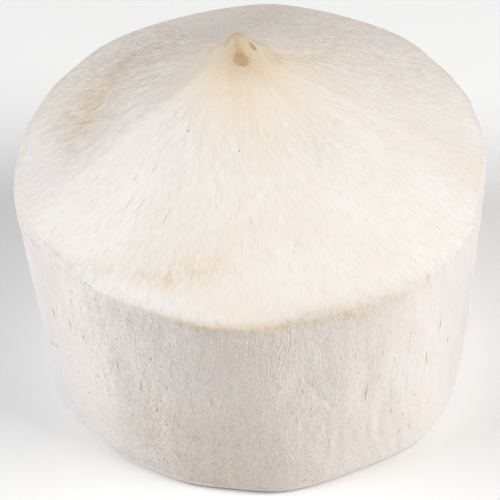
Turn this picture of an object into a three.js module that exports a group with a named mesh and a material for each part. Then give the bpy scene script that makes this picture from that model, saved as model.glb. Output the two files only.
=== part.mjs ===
// Trimmed young coconut. One solid of white husk: a low pointed cone on a planed wall with a flat base.
// Millimetres, +Z up. The origin is the middle of the flat base, and -Y is the front.
// An azimuth is counted in degrees from +X towards +Y, so the front is at -90.
import * as THREE from "three";
import { mergeVertices } from "three/addons/utils/BufferGeometryUtils.js";

// Driving dimensions
const RIM_RADIUS = 61.6; // widest radius, where the cone meets the wall, between two knife strokes
const BASE_RADIUS = 58.2; // radius of the wall at the base between two knife strokes
const WALL_HEIGHT = 66.2; // height of the rim where no stroke cuts into it
const CONE_SLOPE = 0.6; // rise of the cone for each millimetre towards the axis
const TIP_ROUND = 2.4; // radius over which the cone's own tip is rounded
const NUB_RISE = 4.7; // height of the nub that the cone's tip keeps
const NUB_SPREAD = 4.5; // radius over which the nub falls back to the cone
const TIP_LEAN = -1.9; // offset of the tip from the base's middle, along X
const BASE_EDGE = 1.6; // rounding of the base's edge
const RIM_EDGE = 1.0; // depth of the rounding at the rim
const STROKE_SOFTNESS = 0.8; // rounding of the edge between two strokes
const STROKE_REACH = 0.5; // a stroke counts only where the cosine of its turn is above this

// Upright knife strokes round the wall: azimuth, distance from the axis at the rim and at the base
const WALL_STROKES = [
  [-159, 64.5, 58],
  [-142, 59.5, 57],
  [-121, 59, 56],
  [-101, 61, 55.5],
  [-79, 60.2, 56.5],
  [-67, 61.8, 56],
  [-29, 64.5, 57],
  [-14, 60, 55.5],
  [7, 59.5, 56.5],
  [30, 59.5, 56],
  [62, 59.5, 57],
  [107, 57.5, 56],
  [141, 60, 56.5],
  [156, 60, 57],
  [175, 60.5, 55.5],
];

// Shallow planed flats on the cone: azimuth, depth at the middle of the stroke, half its width in degrees
const CONE_STROKES = [
  [174, 1.2, 24],
  [-128, 0.3, 18],
  [-88, 0.2, 18],
  [-46, 0.3, 20],
  [12, 0.9, 23],
  [60, 0.6, 22],
  [100, 0.6, 20],
  [136, 0.5, 16],
];

const STROKE_START = 2; // distance from the axis where a stroke on the cone begins
const STROKE_FULL = 30; // distance over which it gets deeper, and over which it then runs out
const STROKE_RUN_OUT = 0.6; // share of its depth that is gone at the rim

// Bevels of the rim: azimuth that each faces, its tilt up from level, its distance from the origin and its
// softness. The first is planed at the front left, and the others round the edge off at the front right.
const BEVELS = [
  [-124, 54, 89.2, 0.4],
  [-79, 40, 89.4, 0.5],
  [-79, 17, 76.5, 0.9],
  [-66, 40, 89.7, 0.5],
  [-66, 17, 77.1, 0.9],
];

// Hollows pressed into the cone: azimuth, distance from the tip, length round the cone, length down it, depth
const HOLLOWS = [
  [-75, 3.9, 1.8, 0.9, 0.9],
  [-11, 3.6, 0.5, 0.5, 0.4],
  [168, 42, 12, 6, 1.0],
];

// Low ridges of the fibres
const RIDGES_AROUND = 66;
const RIDGE_CELLS_ALONG = 11;
const RIDGE_HEIGHT = 0.28; // on the wall
const RIDGE_SHARE_ON_CONE = 0.5; // share of that height that the planed cone keeps
const RIDGE_SEED = 20417;
const WALL_SHARE_OF_FIBRE = 0.55; // a fibre runs up this share of its length on the wall, then on the cone
const RIDGE_FADE_AT_BASE = 8; // height over which the ridges grow from the base up
const RIDGE_FADE_AT_TIP = 25; // distance from the axis over which they grow from the tip out
const RIDGE_FADE_AT_RIM = 2; // distance over which they run out towards the rim

// Mesh counts
const COLUMNS = 132;
const BASE_SHARES = [0, 0.5, 0.86];
const BASE_EDGE_TURNS = [0, 30, 60, 90];
const WALL_ROWS = 12;
const RIM_ROWS = [
  { kind: "rim", inset: 0.15, drop: 0.3 },
  { kind: "rim", inset: 0.65, drop: 0.1 },
];
const CONE_INSETS = [1.6, 3.2, 5.2, 7.6, 10.4, 14, 18, 23, 28, 33, 38, 43];
const TIP_RADII = [12.5, 9.5, 7.5, 6, 4.8, 3.6, 2.6, 1.6, 0.8];

const radians = (degrees) => (degrees * Math.PI) / 180;
const softAbove = (value, width) => width * Math.log1p(Math.exp(Math.min(value / width, 60)));
const smooth = (value) => value * value * (3 - 2 * value);

function seededRandom(seed) {
  let state = seed;
  return () => {
    state = (state * 1664525 + 1013904223) % 4294967296;
    return state / 4294967296;
  };
}

function makeRidgeTable() {
  const random = seededRandom(RIDGE_SEED);
  const table = [];
  for (let along = 0; along <= RIDGE_CELLS_ALONG; along += 1) {
    const ring = [];
    for (let around = 0; around < RIDGES_AROUND; around += 1) {
      ring.push(random() - 0.5);
    }
    table.push(ring);
  }
  return table;
}

const ridgeTable = makeRidgeTable();

// Height of the fibre ridges at an azimuth, and at a share of the way along the fibre
function ridgeHeight(azimuth, share) {
  const turn = azimuth / (2 * Math.PI);
  const around = (turn - Math.floor(turn)) * RIDGES_AROUND;
  const along = share * RIDGE_CELLS_ALONG;
  const left = Math.floor(around) % RIDGES_AROUND;
  const right = (left + 1) % RIDGES_AROUND;
  const low = Math.min(Math.floor(along), RIDGE_CELLS_ALONG - 1);
  const sideways = smooth(around - Math.floor(around));
  const upwards = smooth(along - low);
  const lower = ridgeTable[low][left] * (1 - sideways) + ridgeTable[low][right] * sideways;
  const upper = ridgeTable[low + 1][left] * (1 - sideways) + ridgeTable[low + 1][right] * sideways;
  return RIDGE_HEIGHT * 2 * (lower * (1 - upwards) + upper * upwards);
}

// Outline of the planed wall seen from above, at a share of the way from the base to the rim
function wallRadius(azimuth, share) {
  const round = BASE_RADIUS + (RIM_RADIUS - BASE_RADIUS) * share;
  let sum = Math.exp(-round / STROKE_SOFTNESS);
  for (const [facing, atRim, atBase] of WALL_STROKES) {
    const turn = Math.cos(azimuth - radians(facing));
    if (turn > STROKE_REACH) {
      const flat = (atBase + (atRim - atBase) * share) / turn;
      sum += Math.exp(-flat / STROKE_SOFTNESS);
    }
  }
  return -STROKE_SOFTNESS * Math.log(sum);
}

// Depth that the planed flats take off the cone
function coneStrokeDepth(azimuth, radius) {
  let depth = 0;
  for (const [facing, deepest, halfWidth] of CONE_STROKES) {
    const away = Math.atan2(Math.sin(azimuth - radians(facing)), Math.cos(azimuth - radians(facing)));
    const across = Math.abs(away) / radians(halfWidth);
    if (across < 1) {
      depth = Math.max(depth, deepest * (1 - across * across));
    }
  }
  const start = Math.min(1, Math.max(0, (radius - STROKE_START) / STROKE_FULL));
  const runOut = 1 - STROKE_RUN_OUT * smooth(Math.min(1, Math.max(0, (radius - STROKE_FULL) / STROKE_FULL)));
  return depth * start * runOut;
}

function coneHeight(azimuth, radius) {
  const apex = WALL_HEIGHT + CONE_SLOPE * RIM_RADIUS;
  const cone = apex - CONE_SLOPE * (Math.hypot(radius, TIP_ROUND) - TIP_ROUND);
  const nub = NUB_RISE * Math.exp(-((radius / NUB_SPREAD) ** 2));
  return cone + nub - coneStrokeDepth(azimuth, radius);
}

function hollowDepth(azimuth, radius) {
  let depth = 0;
  for (const [facing, distance, around, along, deepest] of HOLLOWS) {
    const sideways = (radius * Math.sin(azimuth - radians(facing))) / around;
    const outwards = (radius * Math.cos(azimuth - radians(facing)) - distance) / along;
    depth += deepest * Math.exp(-(sideways * sideways + outwards * outwards));
  }
  return depth;
}

// Rows of the lathe: where each one runs, from the middle of the base to the tip
function makeRows() {
  const rows = BASE_SHARES.map((share) => ({ kind: "base", share }));
  for (const turn of BASE_EDGE_TURNS) {
    rows.push({ kind: "baseEdge", turn: radians(turn) });
  }
  for (let row = 1; row <= WALL_ROWS; row += 1) {
    rows.push({ kind: "wall", share: row / WALL_ROWS });
  }
  rows.push(...RIM_ROWS);
  for (const inset of CONE_INSETS) {
    rows.push({ kind: "cone", inset });
  }
  for (const radius of TIP_RADII) {
    rows.push({ kind: "tip", radius });
  }
  rows.push({ kind: "tip", radius: 0 });
  return rows;
}

// Place of one vertex of the body
function placeVertex(row, azimuth) {
  const rim = wallRadius(azimuth, 1);
  const rimHeight = coneHeight(azimuth, rim);
  let radius = 0;
  let height = 0;
  let ridge = 0;
  if (row.kind === "base") {
    radius = wallRadius(azimuth, 0) * row.share;
  } else if (row.kind === "baseEdge") {
    radius = wallRadius(azimuth, 0) - BASE_EDGE + BASE_EDGE * Math.sin(row.turn);
    height = BASE_EDGE - BASE_EDGE * Math.cos(row.turn);
  } else if (row.kind === "wall") {
    height = BASE_EDGE + (rimHeight - RIM_EDGE - BASE_EDGE) * row.share;
    const share = height / rimHeight;
    ridge = ridgeHeight(azimuth, share * WALL_SHARE_OF_FIBRE) * Math.min(1, height / RIDGE_FADE_AT_BASE);
    radius = wallRadius(azimuth, share) + ridge;
  } else {
    radius = row.kind === "tip" ? row.radius : rim - row.inset;
    const inwards = 1 - radius / rim;
    const fade = Math.min(1, radius / RIDGE_FADE_AT_TIP) * Math.min(1, (rim - radius) / RIDGE_FADE_AT_RIM);
    ridge = ridgeHeight(azimuth, WALL_SHARE_OF_FIBRE + (1 - WALL_SHARE_OF_FIBRE) * inwards);
    ridge *= RIDGE_SHARE_ON_CONE * fade;
    height = coneHeight(azimuth, radius) - hollowDepth(azimuth, radius) + ridge - (row.drop || 0);
  }
  const place = new THREE.Vector3(radius * Math.cos(azimuth), radius * Math.sin(azimuth), height);
  if (row.kind !== "base" && row.kind !== "baseEdge") {
    cutBevels(place);
    place.x += TIP_LEAN * Math.max(0, 1 - radius / RIM_RADIUS) * (row.kind === "wall" ? 0 : 1);
  }
  return place;
}

// Moves a point that stands outside a bevel back onto it
function cutBevels(place) {
  for (const [azimuth, tilt, distance, softness] of BEVELS) {
    const level = Math.cos(radians(tilt));
    const facing = new THREE.Vector3(
      Math.cos(radians(azimuth)) * level,
      Math.sin(radians(azimuth)) * level,
      Math.sin(radians(tilt)),
    );
    const outside = softAbove(place.dot(facing) - distance, softness);
    place.addScaledVector(facing, -outside);
  }
}

// The lathe gives the closed net of faces, and each vertex is then put in its place
function makeHusk() {
  const rows = makeRows();
  const last = rows.length - 1;
  const profile = rows.map((row, index) => new THREE.Vector2(index === 0 || index === last ? 0 : 1, index));
  const lathe = new THREE.LatheGeometry(profile, COLUMNS);
  const position = lathe.getAttribute("position");
  for (let index = 0; index < position.count; index += 1) {
    const column = Math.floor(index / rows.length) % COLUMNS;
    const place = placeVertex(rows[index % rows.length], (column * 2 * Math.PI) / COLUMNS);
    position.setXYZ(index, place.x, place.y, place.z);
  }
  lathe.deleteAttribute("normal");
  lathe.deleteAttribute("uv");
  return dropFlatFaces(mergeVertices(lathe, 1e-4));
}

// Leaves out the faces at the two poles whose corners fall together
function dropFlatFaces(geometry) {
  const index = geometry.getIndex();
  const kept = [];
  for (let face = 0; face < index.count; face += 3) {
    const corners = [index.getX(face), index.getX(face + 1), index.getX(face + 2)];
    if (new Set(corners).size === 3) {
      kept.push(...corners);
    }
  }
  geometry.setIndex(kept);
  geometry.computeVertexNormals();
  return geometry;
}

const coconut = new THREE.Mesh(
  makeHusk(),
  new THREE.MeshStandardMaterial({ color: 0xeee6da, roughness: 0.82, metalness: 0 }),
);
coconut.name = "coconut";

const object = new THREE.Group();
object.name = "green_coconut";
object.add(coconut);

export default object;
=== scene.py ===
import math
from types import SimpleNamespace

import bpy
import numpy as np
from mathutils import Matrix, Vector


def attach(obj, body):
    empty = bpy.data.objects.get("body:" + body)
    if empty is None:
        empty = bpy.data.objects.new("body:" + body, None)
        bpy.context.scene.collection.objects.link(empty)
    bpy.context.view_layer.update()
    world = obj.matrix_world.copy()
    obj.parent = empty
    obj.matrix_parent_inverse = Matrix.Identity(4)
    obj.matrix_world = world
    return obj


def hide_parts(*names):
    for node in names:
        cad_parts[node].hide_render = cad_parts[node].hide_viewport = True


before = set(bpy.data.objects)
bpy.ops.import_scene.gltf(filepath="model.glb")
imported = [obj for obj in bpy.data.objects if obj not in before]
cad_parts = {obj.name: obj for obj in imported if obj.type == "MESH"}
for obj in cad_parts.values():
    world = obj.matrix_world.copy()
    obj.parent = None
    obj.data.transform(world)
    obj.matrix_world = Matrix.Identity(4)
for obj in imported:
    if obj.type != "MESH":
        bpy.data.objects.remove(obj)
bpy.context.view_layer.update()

MM = 0.001
FULL_TURN = 2 * math.pi

# Camera, as far as the photograph's outline gives it
CAMERA_TARGET = (-1.8, 0, 33.46)
CAMERA_DISTANCE = 600
CAMERA_ELEVATION = 45.02
CAMERA_ROLL = -3.43
CAMERA_LENS = 162.2
CAMERA_SENSOR = 36
CAMERA_NEAR = 10

# The body's driving sizes, the same as in the solid apart from the rim's edge, which is sharper here
RIM_RADIUS = 61.6
BASE_RADIUS = 58.2
WALL_HEIGHT = 66.2
CONE_SLOPE = 0.6
TIP_ROUND = 2.4
NUB_RISE = 4.7
NUB_SPREAD = 4.5
TIP_LEAN = -1.9
BASE_EDGE = 1.6
RIM_EDGE = 0.6
RIM_DROP = 0.3
STROKE_SOFTNESS = 0.8
STROKE_REACH = 0.5

# Upright knife strokes round the wall: azimuth, distance from the axis at the rim and at the base
WALL_STROKES = (
    (-159, 64.5, 58),
    (-142, 59.5, 57),
    (-121, 59, 56),
    (-101, 61, 55.5),
    (-79, 60.2, 56.5),
    (-67, 61.8, 56),
    (-29, 64.5, 57),
    (-14, 60, 55.5),
    (7, 59.5, 56.5),
    (30, 59.5, 56),
    (62, 59.5, 57),
    (107, 57.5, 56),
    (141, 60, 56.5),
    (156, 60, 57),
    (175, 60.5, 55.5),
)

# Shallow planed flats on the cone: azimuth, depth at the middle, half its width in degrees
CONE_STROKES = (
    (174, 1.2, 24),
    (-128, 0.3, 18),
    (-88, 0.2, 18),
    (-46, 0.3, 20),
    (12, 0.9, 23),
    (60, 0.6, 22),
    (100, 0.6, 20),
    (136, 0.5, 16),
)
STROKE_START = 2
STROKE_FULL = 30
STROKE_RUN_OUT = 0.6

# Bevels of the rim: azimuth that each faces, its tilt up from level, its distance from the origin
# and its softness
BEVELS = (
    (-124, 54, 89.2, 0.4),
    (-79, 40, 89.4, 0.5),
    (-79, 17, 76.5, 0.9),
    (-66, 40, 89.7, 0.5),
    (-66, 17, 77.1, 0.9),
)

# Hollows in the cone: azimuth, distance from the tip, half length round, half length down, depth
HOLLOWS = (
    (-75, 3.9, 1.8, 0.9, 0.9),
    (-11, 3.6, 0.5, 0.5, 0.4),
    (168, 42, 12, 6, 1.0),
)

# Nicks in the wall: azimuth and distance below the rim of both ends, half width, depth
NICKS = (
    (-80.2, 23.9, -73.5, 36.6, 0.9, 0.2),
    (-160.2, 44.5, -154.5, 40.5, 0.5, 0.3),
    (-81.2, 42, -79.5, 45.5, 0.8, 0.15),
    (-53.5, 34, -54, 39, 0.6, 0.2),
)

# Low ridges of the fibres, the same as in the solid, and the finer relief over them
RIDGES_AROUND = 66
RIDGE_CELLS_ALONG = 11
RIDGE_HEIGHT = 0.28
RIDGE_SHARE_ON_CONE = 0.5
RIDGE_SEED = 20417
WALL_SHARE_OF_FIBRE = 0.55
RIDGE_FADE_AT_BASE = 8
RIDGE_FADE_AT_TIP = 25
RIDGE_FADE_AT_RIM = 2
RELIEFS = (
    # seed, cells round, length of a cell in mm, height on the wall, height on the cone
    (311, 190, 9, 0.11, 0.05),
    (312, 330, 4.5, 0.06, 0.025),
)
RELIEF_MARGIN = 4
RELIEF_FADE_AT_BASE = 3
RELIEF_FADE_ON_CONE = (3, 23)
RELIEF_BLEND_AT_RIM = (-1, 1)
# Length of the surface from the tip to the base, with room to spare
SURFACE_LENGTH = 140

# The ridges' draws: each comes from the one before by this factor and step, and stays in this range
DRAW_FACTOR = 1664525
DRAW_STEP = 1013904223
DRAW_RANGE = 4294967296

# Rows and columns of the husk's net, from the middle of the base to the tip
COLUMNS = 600
BASE_ROWS = (0, 0.2, 0.4, 0.6, 0.75, 0.88, 0.95)
BASE_EDGE_TURNS = (0, 25, 45, 65, 90)
WALL_ROWS = 66
WALL_TOP_DEPTHS = (0.8, 0.4, 0.1)
RIM_INSETS = (0.15, 0.4, 0.7, 1.1, 1.6)
CLOSE_INSETS_END = 14
CLOSE_INSET = 0.7
WIDE_INSET = 0.95
CONE_INSETS_END = 43.3
TIP_RADII = (13, 12, 11, 10, 9.2, 8.4, 7.6, 6.8, 6, 5.4, 4.8, 4.2, 3.6, 3, 2.4, 1.8, 1.2, 0.6)

# Colours as seen in even white light
HUSK_WHITE = (245, 241, 238)
HUSK_CREAM = (243, 235, 226)
HUSK_ROSE = (240, 231, 226)
HUSK_LILAC = (229, 225, 227)
GROOVE_GREY = (230, 221, 213)
STAIN_TAN = (222, 198, 158)
# Grey of weathering, and of the painted shade on the back of the cone and in its hollow
WEATHER_AND_SHADE_GREY = (200, 187, 176)
PIT_BROWN = (190, 161, 119)
NUB_UMBER = (162, 142, 118)
VEIN_TAN = (206, 174, 122)
SPECK_BROWN = (122, 106, 92)
FLOOR_WHITE = (250, 250, 250)


def smooth(value):
    return value * value * (3 - 2 * value)


def soft_above(value, width):
    return width * np.logaddexp(0, value / width)


def ramp(value, start, end):
    """Rises evenly from 0 at the start to 1 at the end, and stays level beyond them."""
    return np.clip((value - start) / (end - start), 0, 1)


def turn_from(azimuth, facing):
    """Turn in radians from a facing in degrees, the short way round."""
    away = azimuth - math.radians(facing)
    return np.arctan2(np.sin(away), np.cos(away))


def unit(vectors):
    """The same directions with a length of 1."""
    return vectors / np.maximum(np.linalg.norm(vectors, axis=-1, keepdims=True), 1e-9)


def make_camera():
    """The photograph's view: from above the front, turned a little so that the right side stands up."""
    elevation = math.radians(CAMERA_ELEVATION)
    roll = math.radians(CAMERA_ROLL)
    back = Vector((0, -math.cos(elevation), math.sin(elevation)))
    right = Vector((1, 0, 0))
    up = Vector((0, math.sin(elevation), math.cos(elevation)))
    camera_right = right * math.cos(-roll) - up * math.sin(-roll)
    camera_up = right * math.sin(-roll) + up * math.cos(-roll)
    data = bpy.data.cameras.new("camera")
    data.lens = CAMERA_LENS
    data.sensor_width = CAMERA_SENSOR
    data.clip_start = CAMERA_NEAR * MM
    camera = bpy.data.objects.new("camera", data)
    bpy.context.scene.collection.objects.link(camera)
    axes = Matrix((camera_right, camera_up, back)).transposed()
    place = (Vector(CAMERA_TARGET) + back * CAMERA_DISTANCE) * MM
    camera.matrix_world = Matrix.Translation(place) @ axes.to_4x4()
    bpy.context.scene.camera = camera


# Form of the husk


def make_ridge_table():
    """The same seeded draws as in the solid's source, so that both have the same low ridges."""
    state = RIDGE_SEED
    table = np.zeros((RIDGE_CELLS_ALONG + 1, RIDGES_AROUND))
    for along in range(RIDGE_CELLS_ALONG + 1):
        for around in range(RIDGES_AROUND):
            state = (state * DRAW_FACTOR + DRAW_STEP) % DRAW_RANGE
            table[along, around] = state / DRAW_RANGE - 0.5
    return table


def read_table(table, azimuth, along):
    """Smooth value of a table of draws that closes round the husk. Its ends are held along it."""
    count_along, count_around = table.shape
    around = np.mod(azimuth / FULL_TURN, 1) * count_around
    left = np.floor(around).astype(int) % count_around
    right = (left + 1) % count_around
    along = np.clip(along, 0, count_along - 1.001)
    low = np.floor(along).astype(int)
    sideways = smooth(around - np.floor(around))
    upwards = smooth(along - low)
    lower = table[low, left] * (1 - sideways) + table[low, right] * sideways
    upper = table[low + 1, left] * (1 - sideways) + table[low + 1, right] * sideways
    return lower * (1 - upwards) + upper * upwards


def make_draws(seed, cells_along, cells_around):
    return np.random.RandomState(seed).rand(cells_along, cells_around) - 0.5


RIDGE_TABLE = make_ridge_table()
RELIEF_TABLES = [
    make_draws(seed, int(SURFACE_LENGTH / length) + 2, around) for seed, around, length, _, _ in RELIEFS
]


def wall_radius(azimuth, share):
    """Outline of the planed wall from above, at a share of the way from the base to the rim."""
    total = np.exp(-(BASE_RADIUS + (RIM_RADIUS - BASE_RADIUS) * share) / STROKE_SOFTNESS)
    for facing, at_rim, at_base in WALL_STROKES:
        turn = np.cos(azimuth - math.radians(facing))
        flat = (at_base + (at_rim - at_base) * share) / np.maximum(turn, STROKE_REACH)
        total = total + np.where(turn > STROKE_REACH, np.exp(-flat / STROKE_SOFTNESS), 0)
    return -STROKE_SOFTNESS * np.log(total)


def cone_stroke_depth(azimuth, radius):
    depth = np.zeros_like(azimuth * radius)
    for facing, deepest, half_width in CONE_STROKES:
        across = turn_from(azimuth, facing) / math.radians(half_width)
        depth = np.maximum(depth, deepest * np.clip(1 - across**2, 0, None))
    start = np.clip((radius - STROKE_START) / STROKE_FULL, 0, 1)
    run_out = 1 - STROKE_RUN_OUT * smooth(np.clip((radius - STROKE_FULL) / STROKE_FULL, 0, 1))
    return depth * start * run_out


def cone_height(azimuth, radius):
    apex = WALL_HEIGHT + CONE_SLOPE * RIM_RADIUS
    cone = apex - CONE_SLOPE * (np.hypot(radius, TIP_ROUND) - TIP_ROUND)
    return cone + NUB_RISE * np.exp(-((radius / NUB_SPREAD) ** 2)) - cone_stroke_depth(azimuth, radius)


def hollow_depth(azimuth, radius):
    depth = np.zeros_like(azimuth * radius)
    for facing, distance, around, along, deepest in HOLLOWS:
        away = azimuth - math.radians(facing)
        sideways = radius * np.sin(away) / around
        outwards = (radius * np.cos(away) - distance) / along
        depth += deepest * np.exp(-(sideways**2) - outwards**2)
    return depth


def nick_depth(azimuth, way):
    depth = np.zeros_like(azimuth * way)
    for azimuth_a, way_a, azimuth_b, way_b, half_width, deepest in NICKS:
        x = turn_from(azimuth, (azimuth_a + azimuth_b) / 2) * RIM_RADIUS
        end = math.radians(azimuth_b - azimuth_a) / 2 * RIM_RADIUS
        y = way - (way_a + way_b) / 2
        rise = (way_b - way_a) / 2
        length = math.hypot(end, rise)
        along = (x * end + y * rise) / length
        across = (y * end - x * rise) / length
        past = np.clip(np.abs(along) - length, 0, None)
        depth += deepest * np.exp(-(across**2 + past**2) / half_width**2)
    return depth


def relief_height(azimuth, way, rim, rim_height):
    """Height of the fibres' relief. Way is the distance below the rim, and negative inwards of it."""
    height = rim_height - way
    radius = np.clip(rim + way, 0, None)
    on_wall = way > 0
    wall_share = ramp(height, 0, rim_height) * WALL_SHARE_OF_FIBRE
    cone_share = WALL_SHARE_OF_FIBRE + (1 - WALL_SHARE_OF_FIBRE) * (1 - radius / rim)
    along = np.where(on_wall, wall_share, cone_share) * RIDGE_CELLS_ALONG
    ridge = RIDGE_HEIGHT * 2 * read_table(RIDGE_TABLE, azimuth, along)
    wall_fade = ramp(height, 0, RIDGE_FADE_AT_BASE)
    cone_fade = ramp(radius, 0, RIDGE_FADE_AT_TIP) * ramp(-way, 0, RIDGE_FADE_AT_RIM)
    total = ridge * np.where(on_wall, wall_fade, RIDGE_SHARE_ON_CONE * cone_fade)
    for table, (_, _, length, on_the_wall, on_the_cone) in zip(RELIEF_TABLES, RELIEFS):
        fine = 2 * read_table(table, azimuth, (way + RIM_RADIUS + RELIEF_MARGIN) / length)
        wall_part = on_the_wall * ramp(height, 0, RELIEF_FADE_AT_BASE)
        cone_part = on_the_cone * ramp(radius, *RELIEF_FADE_ON_CONE)
        mix = ramp(way, *RELIEF_BLEND_AT_RIM)
        total = total + fine * (wall_part * mix + cone_part * (1 - mix))
    return total


def husk_point(azimuth, way, lift=0.0, relief=True):
    """Points of the surface in mm, for the distance below the rim (negative on the cone)."""
    azimuth = np.asarray(azimuth, float)
    way = np.asarray(way, float)
    rim = wall_radius(azimuth, 1.0)
    rim_height = cone_height(azimuth, rim)
    rounding = np.exp(-((way / RIM_EDGE) ** 2))
    raised = lift + (relief_height(azimuth, way, rim, rim_height) if relief else 0)
    wall_height = rim_height - way
    wall_r = wall_radius(azimuth, np.clip(wall_height / rim_height, 0, 1))
    wall_r = wall_r + raised - nick_depth(azimuth, way) - RIM_DROP * rounding
    cone_r = np.clip(rim + way, 0, None)
    cone_z = cone_height(azimuth, cone_r) - hollow_depth(azimuth, cone_r) + raised - RIM_DROP * rounding
    on_wall = way > 0
    radius = np.where(on_wall, wall_r, np.maximum(cone_r - RIM_DROP * rounding, 0))
    height = np.where(on_wall, wall_height - RIM_DROP * rounding, cone_z)
    points = np.stack([radius * np.cos(azimuth), radius * np.sin(azimuth), height], -1)
    for azimuth_faced, tilt, distance, softness in BEVELS:
        level = math.cos(math.radians(tilt))
        turn = math.radians(azimuth_faced)
        upright = math.sin(math.radians(tilt))
        facing = np.array((math.cos(turn) * level, math.sin(turn) * level, upright))
        outside = soft_above(points @ facing - distance - lift, softness)
        points = points - outside[..., None] * facing
    points[..., 0] += np.where(on_wall, 0, TIP_LEAN * np.clip(1 - cone_r / RIM_RADIUS, 0, 1))
    return points


NORMAL_STEP = 0.3
NORMAL_LEAST_RADIUS = 2


def husk_normal(azimuth, way):
    """Outward direction of the surface, without its relief."""
    x, y, _ = np.moveaxis(husk_point(azimuth, way, relief=False), -1, 0)
    turn = NORMAL_STEP / np.maximum(np.hypot(x, y), NORMAL_LEAST_RADIUS)
    ahead = husk_point(azimuth + turn, way, relief=False)
    behind = husk_point(azimuth - turn, way, relief=False)
    above = husk_point(azimuth, way - NORMAL_STEP, relief=False)
    below = husk_point(azimuth, way + NORMAL_STEP, relief=False)
    return unit(np.cross(ahead - behind, above - below))


# Stains, by place. Distances on the cone are from the tip, and on the wall from the rim down.

# azimuth, distance from the tip, half length round, half length down, strength
CONE_STAINS = (
    (-139, 57.8, 3, 1.6, 0.22),
    (-134, 56, 4, 1.7, 0.3),
    (-128, 54.3, 4, 1.7, 0.3),
    (-121, 53.3, 4, 1.7, 0.26),
    (-114, 53, 3, 2.0, 0.4),
    (-106, 49, 5, 3.5, 0.28),
    (-100, 48, 3, 2, 0.15),
    (-112, 49, 7, 4, 0.1),
    (-163, 57, 3, 3, 0.15),
    (20, 17, 0.8, 3.5, 0.3),
    (22.5, 22, 0.8, 4, 0.25),
    (25, 28, 0.8, 4, 0.15),
    (8, 10, 2.2, 1.6, 0.3),
    (153, 39.5, 5, 4.5, 0.18),
    (162, 41, 6, 6, 0.34),
    (171, 42.5, 6, 6, 0.38),
    (180, 43.5, 6, 5, 0.34),
)

# azimuth, distance below the rim, half length round, half length down, strength
RIM_STAINS = (
    (-160, -0.5, 6, 1.2, 0.16),
    (-150, -0.5, 6, 1.2, 0.16),
    (-143, -0.3, 4, 1.0, 0.16),
    (-124, 1.2, 6, 1.2, 0.12),
    (-116, 1.2, 6, 1.4, 0.24),
    (-109, 1.3, 5, 1.3, 0.4),
    (-103, 1.2, 5, 1.3, 0.42),
    (-97, 1.1, 5, 1.4, 0.38),
    (-90, 1.2, 6, 1.6, 0.36),
    (-83, 1.6, 5, 2.2, 0.36),
    (-76, 2.2, 5, 3.0, 0.36),
    (-70, 2.8, 4, 3.6, 0.32),
    (-64, 3.0, 4, 4.2, 0.3),
    (-58, 2.4, 4, 4.0, 0.22),
    (-51, 1.4, 3, 2.2, 0.14),
)

# Grey on the cone: weathering, and painted shade in the hollow at the back left and towards the rim on
# the right
# azimuth, distance from the tip, half length round, half length down, strength
CONE_WEATHERING_AND_SHADE = (
    (-112, 40, 40, 24, 0.09),
    (168, 42, 16, 9, 0.3),
    (-15, 54, 14, 6, 0.08),
    (138, 38.5, 7, 2.2, 0.35),
    (131, 33, 8, 3, 0.16),
    (150, 27, 6, 4, 0.1),
    (76, 36, 8, 10, 0.16),
    (-51, 28, 4, 5, 0.12),
    (-38, 26, 14, 14, 0.1),
    (-110, 24, 16, 10, 0.1),
    (-145, 21, 8, 8, 0.12),
)

# Painted shade on the back of the cone, which faces away from the lamps, laid on as grey: azimuth
# going round from the left ridge to the right one, then the amount half way out and the amount at the rim
BACK_SHADE = (
    (-160, 0.0, 0.0),
    (-168, 0.28, 0.06),
    (-180, 0.36, 0.14),
    (-195, 0.4, 0.2),
    (-210, 0.52, 0.32),
    (-240, 0.52, 0.3),
    (-255, 0.31, 0.16),
    (-285, 0.26, 0.22),
    (-300, 0.26, 0.22),
    (-315, 0.32, 0.2),
    (-330, 0.34, 0.2),
    (-345, 0.24, 0.1),
    (-358, 0.06, 0.0),
    (-366, 0.0, 0.0),
)
# Distances from the tip over which the painted shade comes in, and goes over to its amount at the rim
GREY_COMES_IN = (4, 14)
GREY_GOES_OVER = (32, 56)
# Amounts of painted shade on the back at which it is as even as it gets there, and at which it is as
# rough
GREY_AT_EVEN = 0.3
GREY_AT_ROUGH = 0.2

# Golden halo round the tip: its middle azimuth, the distance over which it is full, its fall at the
# front and at the back, its strength, how far round the front's fall holds, and how sharply it ends
HALO_FACING = -75
HALO_FULL = 3
HALO_FALL = 10
HALO_FALL_AT_BACK = 5
HALO_STRENGTH = 0.9
HALO_FRONT_SHARE = 0.75
HALO_SHARPNESS = 1.3
# Brown marks on the nub: place from the axis towards +X and +Y, half lengths that way, strength
NUB_MARKS = (
    (0.6, -4.1, 2.2, 1.1, 1.0),
    (0.8, -5.0, 1.3, 0.5, 0.35),
    (3.28, -0.84, 0.6, 0.85, 0.85),
    (3.92, -0.62, 0.6, 0.85, 0.85),
    (0.3, -0.1, 1.1, 0.6, 0.5),
)
# Umber shades round the dimple, above it and on top of the nub, given in the same way
NUB_SHADES = (
    (1.3, -4.4, 4.9, 3.6, 0.29),
    (-0.1, -2.3, 0.9, 1.4, 0.32),
    (-0.2, -0.1, 2.2, 1.0, 0.47),
    (-2.6, -0.3, 1.2, 0.7, 0.2),
    (-4.2, -0.8, 2.0, 2.2, 0.14),
    (3.4, -0.9, 1.3, 1.0, 0.15),
)
# Flanks of the nub with less gold, given in the same way
NUB_PALE = (
    (-4.4, -0.8, 2.2, 2.4, 0.3),
    (4.8, 0.4, 2.2, 2.0, 0.26),
)
# Brown dust on the front of the wall, most of it low: azimuth, distance below the rim, half length
# round, half length down, strength
WALL_DUST = ((-104, 60, 33, 20, 0.52), (-94, 9, 16, 9, 0.14))
DUST_GREY = 0.7
DUST_STAIN = 0.25
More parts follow.
